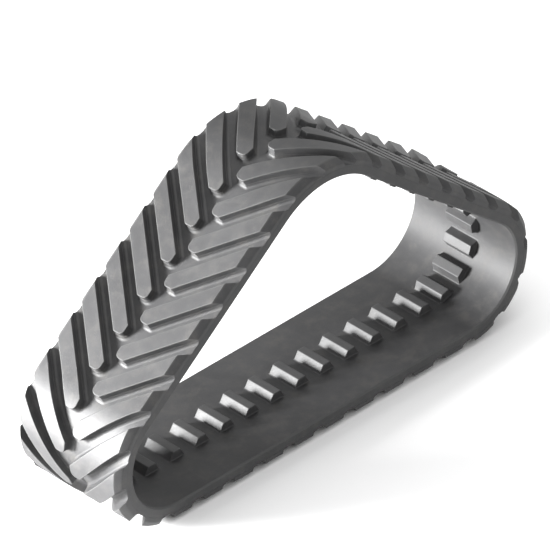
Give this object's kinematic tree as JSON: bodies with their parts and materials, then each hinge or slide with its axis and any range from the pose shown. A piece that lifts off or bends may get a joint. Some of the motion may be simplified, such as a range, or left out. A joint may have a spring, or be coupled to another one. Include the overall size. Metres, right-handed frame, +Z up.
{
  "type": "rubber track",
  "caption": "Rubber track loop in its running shape: steel-cable belt with drive lugs inside and two staggered rows of angled tread bars outside.",
  "frame": {"origin": "under the middle of the ground run, on the plane of the tread bars' faces, on the belt's centre line", "axes": "+X along the ground run in the direction of travel, +Y across the belt to the left, +Z up"},
  "size_m": [2.534, 0.628, 1.416],
  "materials": {
    "belt_rubber": "semi-gloss moulded",
    "tread_rubber": "semi-gloss moulded, scuffed faces",
    "lug_rubber": "satin moulded",
    "cable_ply": "brass-coated cable",
    "bias_plies": "rubberised cord"
  },
  "bodies": {
    "ground_run": {"ground_run_inner_cover": "belt_rubber", "ground_run_cable_ply": "cable_ply", "ground_run_bias_plies": "bias_plies", "ground_run_outer_cover": "belt_rubber", "ground_run_drive_lugs": "lug_rubber", "ground_run_left_bars": "tread_rubber", "ground_run_right_bars": "tread_rubber", "rear_pickup_belt": "belt_rubber", "rear_pickup_bars": "tread_rubber"},
    "front_wrap": {"front_wrap_inner_cover": "belt_rubber", "front_wrap_cable_ply": "cable_ply", "front_wrap_bias_plies": "bias_plies", "front_wrap_outer_cover": "belt_rubber", "front_wrap_drive_lugs": "lug_rubber", "front_wrap_bars": "tread_rubber", "front_laydown_belt": "belt_rubber", "front_laydown_bars": "tread_rubber"},
    "front_run": {"front_run_inner_cover": "belt_rubber", "front_run_cable_ply": "cable_ply", "front_run_bias_plies": "bias_plies", "front_run_outer_cover": "belt_rubber", "front_run_drive_lugs": "lug_rubber", "front_run_left_bars": "tread_rubber", "front_run_right_bars": "tread_rubber", "front_bend_belt": "belt_rubber", "front_bend_bars": "tread_rubber"},
    "top_foot": {"top_foot_inner_cover": "belt_rubber", "top_foot_cable_ply": "cable_ply", "top_foot_bias_plies": "bias_plies", "top_foot_outer_cover": "belt_rubber", "top_release_belt": "belt_rubber", "top_release_bars": "tread_rubber"},
    "top_wrap": {"top_wrap_inner_cover": "belt_rubber", "top_wrap_cable_ply": "cable_ply", "top_wrap_bias_plies": "bias_plies", "top_wrap_outer_cover": "belt_rubber", "top_wrap_drive_lugs": "lug_rubber", "top_wrap_bars": "tread_rubber"},
    "rear_run": {"rear_run_inner_cover": "belt_rubber", "rear_run_cable_ply": "cable_ply", "rear_run_bias_plies": "bias_plies", "rear_run_outer_cover": "belt_rubber", "rear_run_drive_lugs": "lug_rubber", "rear_run_left_bars": "tread_rubber", "rear_run_right_bars": "tread_rubber", "top_bend_belt": "belt_rubber", "top_bend_bars": "tread_rubber"},
    "rear_wrap": {"rear_wrap_inner_cover": "belt_rubber", "rear_wrap_cable_ply": "cable_ply", "rear_wrap_bias_plies": "bias_plies", "rear_wrap_outer_cover": "belt_rubber", "rear_wrap_drive_lugs": "lug_rubber", "rear_wrap_bars": "tread_rubber", "rear_release_belt": "belt_rubber", "rear_release_bars": "tread_rubber"}
  },
  "joints": [
    {"name": "rear_pickup", "type": "hinge", "parent": "ground_run", "child": "rear_wrap", "pos_m": [-0.8268, 0, 0.05049], "axis": [0, 1, 0], "range_deg": [0, 27.32], "deforming": ["rear_pickup_belt", "rear_pickup_bars"]},
    {"name": "rear_release", "type": "hinge", "parent": "rear_wrap", "child": "rear_run", "pos_m": [-1.15829, 0, 0.56129], "axis": [0, 1, 0], "range_deg": [-27.32, 0], "deforming": ["rear_release_belt", "rear_release_bars"]},
    {"name": "top_bend", "type": "hinge", "parent": "rear_run", "child": "top_wrap", "pos_m": [-0.33189, 0, 1.22411], "axis": [0, 1, 0], "range_deg": [0, 19.82], "deforming": ["top_bend_belt", "top_bend_bars"]},
    {"name": "front_laydown", "type": "hinge", "parent": "ground_run", "child": "front_wrap", "pos_m": [0.9792, 0, 0.05049], "axis": [0, 1, 0], "range_deg": [0, 27.32], "deforming": ["front_laydown_belt", "front_laydown_bars"]},
    {"name": "front_bend", "type": "hinge", "parent": "front_wrap", "child": "front_run", "pos_m": [1.03925, 0, 0.65646], "axis": [0, 1, 0], "range_deg": [-27.32, 0], "deforming": ["front_bend_belt", "front_bend_bars"]},
    {"name": "top_release", "type": "hinge", "parent": "front_run", "child": "top_foot", "pos_m": [0.21286, 0, 1.31928], "axis": [0, 1, 0], "range_deg": [0, 19.82], "deforming": ["top_release_belt", "top_release_bars"]}
  ],
  "couplings": [
    {"joint": "rear_release", "follows": "rear_pickup", "ratio": -1},
    {"joint": "top_bend", "follows": "rear_pickup", "ratio": 0.72537},
    {"joint": "front_laydown", "follows": "rear_pickup", "ratio": 1},
    {"joint": "front_bend", "follows": "rear_pickup", "ratio": -1},
    {"joint": "top_release", "follows": "rear_pickup", "ratio": 0.72537}
  ]
}
